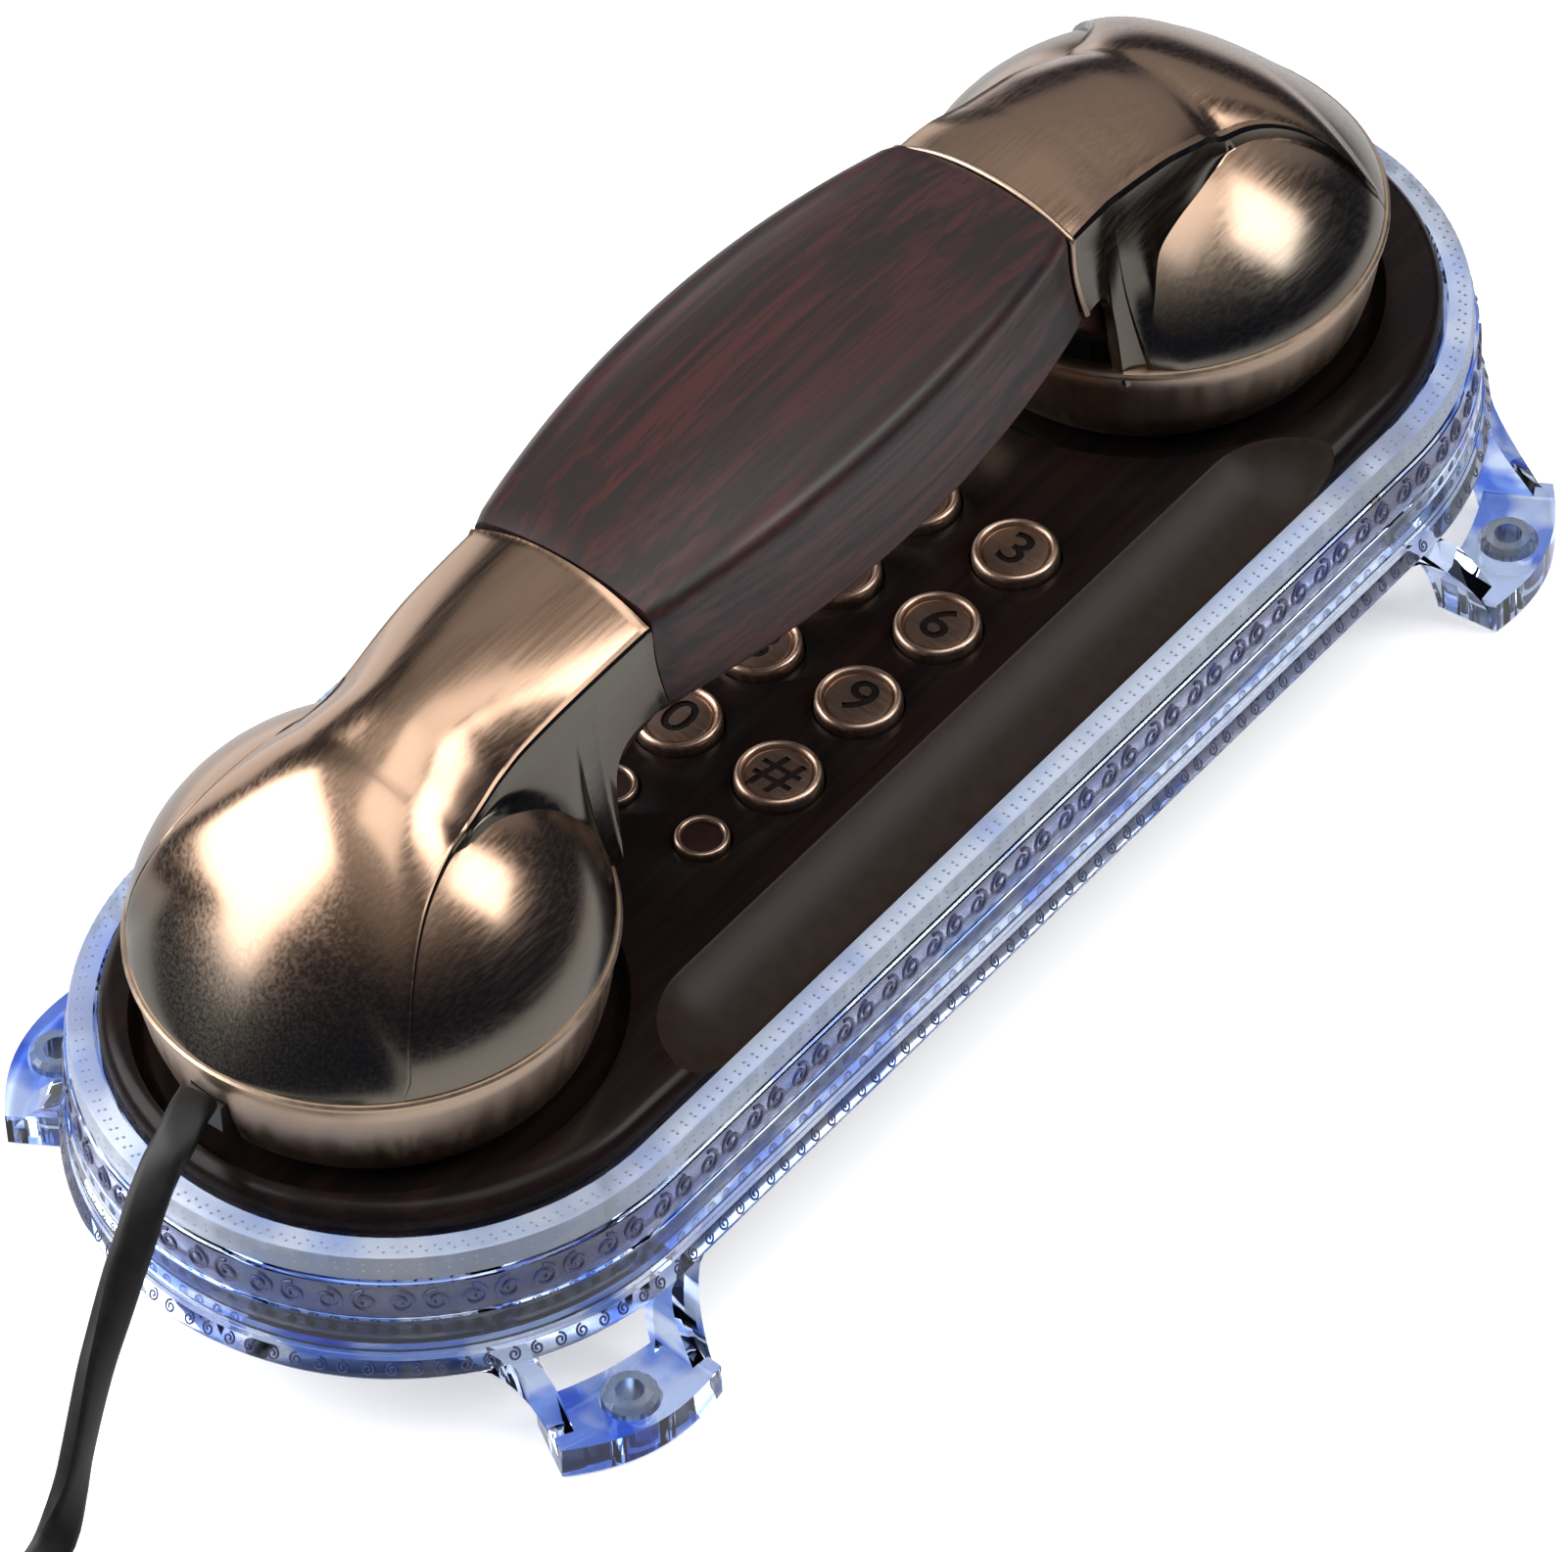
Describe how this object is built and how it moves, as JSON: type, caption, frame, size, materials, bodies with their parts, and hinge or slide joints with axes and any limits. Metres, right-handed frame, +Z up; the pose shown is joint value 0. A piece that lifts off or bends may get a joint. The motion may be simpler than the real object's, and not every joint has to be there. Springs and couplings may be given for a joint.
{
  "type": "slimline wall telephone",
  "caption": "Slimline wall telephone: handset resting on a keypad console in a clear base with screw feet, with a flat handset cord.",
  "frame": {"origin": "on the floor plane that the four feet stand on, at the middle of the base", "axes": "+Z up off the feet towards the handset, +Y along the phone towards the earpiece end, +X to the right with the cord end towards the viewer"},
  "size_m": [0.1187, 0.3228, 0.0813],
  "materials": {
    "crystal_acrylic": "clear moulded acrylic, bevelled and embossed",
    "console_brown": "gloss dark brown",
    "bronze_metallic": "brushed bronze metallised plastic",
    "wood_look": "satin dark red wood grain",
    "handset_dark_red": "gloss very dark red brown",
    "key_copper": "copper metallised with a dark engraved character",
    "black_plastic": "black",
    "grommet_rubber": "grey rubber",
    "circuit_board": "green laminate",
    "steel": "plain steel",
    "cord_jacket": "satin black flat cord",
    "clear_plug": "clear moulded plug"
  },
  "bodies": {
    "console": {"crystal_base": "crystal_acrylic", "foot_grommet_ear_left": "grommet_rubber", "foot_grommet_ear_right": "grommet_rubber", "foot_grommet_mouth_left": "grommet_rubber", "foot_grommet_mouth_right": "grommet_rubber", "console_top_shell": "console_brown", "console_rear_cover": "black_plastic", "console_screw_ear_left": "steel", "console_screw_ear_right": "steel", "console_screw_mouth_left": "steel", "console_screw_mouth_right": "steel", "keypad_membrane": "grommet_rubber", "keypad_pcb": "circuit_board", "main_pcb": "circuit_board", "ringer": "black_plastic", "hook_switch": "black_plastic", "handset_jack": "black_plastic", "line_jack": "black_plastic", "handset_cord": "cord_jacket", "handset_cord_coil": "cord_jacket", "handset_cord_far_plug": "clear_plug", "handset_cord_tie": "black_plastic"},
    "handset": {"ear_dome": "bronze_metallic", "mouth_dome": "bronze_metallic", "handset_sleeve": "wood_look", "handset_inner_shell": "handset_dark_red", "mouth_throat_shell": "handset_dark_red", "ear_throat_shell": "handset_dark_red", "handset_screw_ear": "steel", "handset_screw_mouth": "steel", "handset_weight": "steel", "ear_cap": "bronze_metallic", "mouth_cap": "bronze_metallic", "receiver_capsule": "black_plastic", "microphone_capsule": "black_plastic", "handset_cord_plug": "black_plastic"},
    "hook_plunger": {"hook_plunger": "black_plastic"},
    "key_1": {"key_1": "key_copper"},
    "key_2": {"key_2": "key_copper"},
    "key_3": {"key_3": "key_copper"},
    "key_4": {"key_4": "key_copper"},
    "key_5": {"key_5": "key_copper"},
    "key_6": {"key_6": "key_copper"},
    "key_7": {"key_7": "key_copper"},
    "key_8": {"key_8": "key_copper"},
    "key_9": {"key_9": "key_copper"},
    "key_star": {"key_star": "key_copper"},
    "key_0": {"key_0": "key_copper"},
    "key_hash": {"key_hash": "key_copper"},
    "function_key_left": {"function_key_left": "key_copper"},
    "function_key_middle": {"function_key_middle": "key_copper"},
    "function_key_right": {"function_key_right": "key_copper"}
  },
  "joints": [
    {"name": "handset_lift", "type": "slide", "parent": "console", "child": "handset", "axis": [0, 0, 1], "range_m": [0, 0.085]},
    {"name": "hook_plunger_travel", "type": "slide", "parent": "console", "child": "hook_plunger", "axis": [0, 0, 1], "range_m": [0, 0.0034]},
    {"name": "key_1_press", "type": "slide", "parent": "console", "child": "key_1", "axis": [0, 0, -1], "range_m": [0, 0.0012], "stiffness_N_per_m": 400, "springref_m": -0.0006},
    {"name": "key_2_press", "type": "slide", "parent": "console", "child": "key_2", "axis": [0, 0, -1], "range_m": [0, 0.0012], "stiffness_N_per_m": 400, "springref_m": -0.0006},
    {"name": "key_3_press", "type": "slide", "parent": "console", "child": "key_3", "axis": [0, 0, -1], "range_m": [0, 0.0012], "stiffness_N_per_m": 400, "springref_m": -0.0006},
    {"name": "key_4_press", "type": "slide", "parent": "console", "child": "key_4", "axis": [0, 0, -1], "range_m": [0, 0.0012], "stiffness_N_per_m": 400, "springref_m": -0.0006},
    {"name": "key_5_press", "type": "slide", "parent": "console", "child": "key_5", "axis": [0, 0, -1], "range_m": [0, 0.0012], "stiffness_N_per_m": 400, "springref_m": -0.0006},
    {"name": "key_6_press", "type": "slide", "parent": "console", "child": "key_6", "axis": [0, 0, -1], "range_m": [0, 0.0012], "stiffness_N_per_m": 400, "springref_m": -0.0006},
    {"name": "key_7_press", "type": "slide", "parent": "console", "child": "key_7", "axis": [0, 0, -1], "range_m": [0, 0.0012], "stiffness_N_per_m": 400, "springref_m": -0.0006},
    {"name": "key_8_press", "type": "slide", "parent": "console", "child": "key_8", "axis": [0, 0, -1], "range_m": [0, 0.0012], "stiffness_N_per_m": 400, "springref_m": -0.0006},
    {"name": "key_9_press", "type": "slide", "parent": "console", "child": "key_9", "axis": [0, 0, -1], "range_m": [0, 0.0012], "stiffness_N_per_m": 400, "springref_m": -0.0006},
    {"name": "key_star_press", "type": "slide", "parent": "console", "child": "key_star", "axis": [0, 0, -1], "range_m": [0, 0.0012], "stiffness_N_per_m": 400, "springref_m": -0.0006},
    {"name": "key_0_press", "type": "slide", "parent": "console", "child": "key_0", "axis": [0, 0, -1], "range_m": [0, 0.0012], "stiffness_N_per_m": 400, "springref_m": -0.0006},
    {"name": "key_hash_press", "type": "slide", "parent": "console", "child": "key_hash", "axis": [0, 0, -1], "range_m": [0, 0.0012], "stiffness_N_per_m": 400, "springref_m": -0.0006},
    {"name": "function_key_left_press", "type": "slide", "parent": "console", "child": "function_key_left", "axis": [0, 0, -1], "range_m": [0, 0.0012], "stiffness_N_per_m": 400, "springref_m": -0.0006},
    {"name": "function_key_middle_press", "type": "slide", "parent": "console", "child": "function_key_middle", "axis": [0, 0, -1], "range_m": [0, 0.0012], "stiffness_N_per_m": 400, "springref_m": -0.0006},
    {"name": "function_key_right_press", "type": "slide", "parent": "console", "child": "function_key_right", "axis": [0, 0, -1], "range_m": [0, 0.0012], "stiffness_N_per_m": 400, "springref_m": -0.0006}
  ],
  "couplings": [
    {"joint": "hook_plunger_travel", "follows": "handset_lift", "ratio": 0.04}
  ]
}
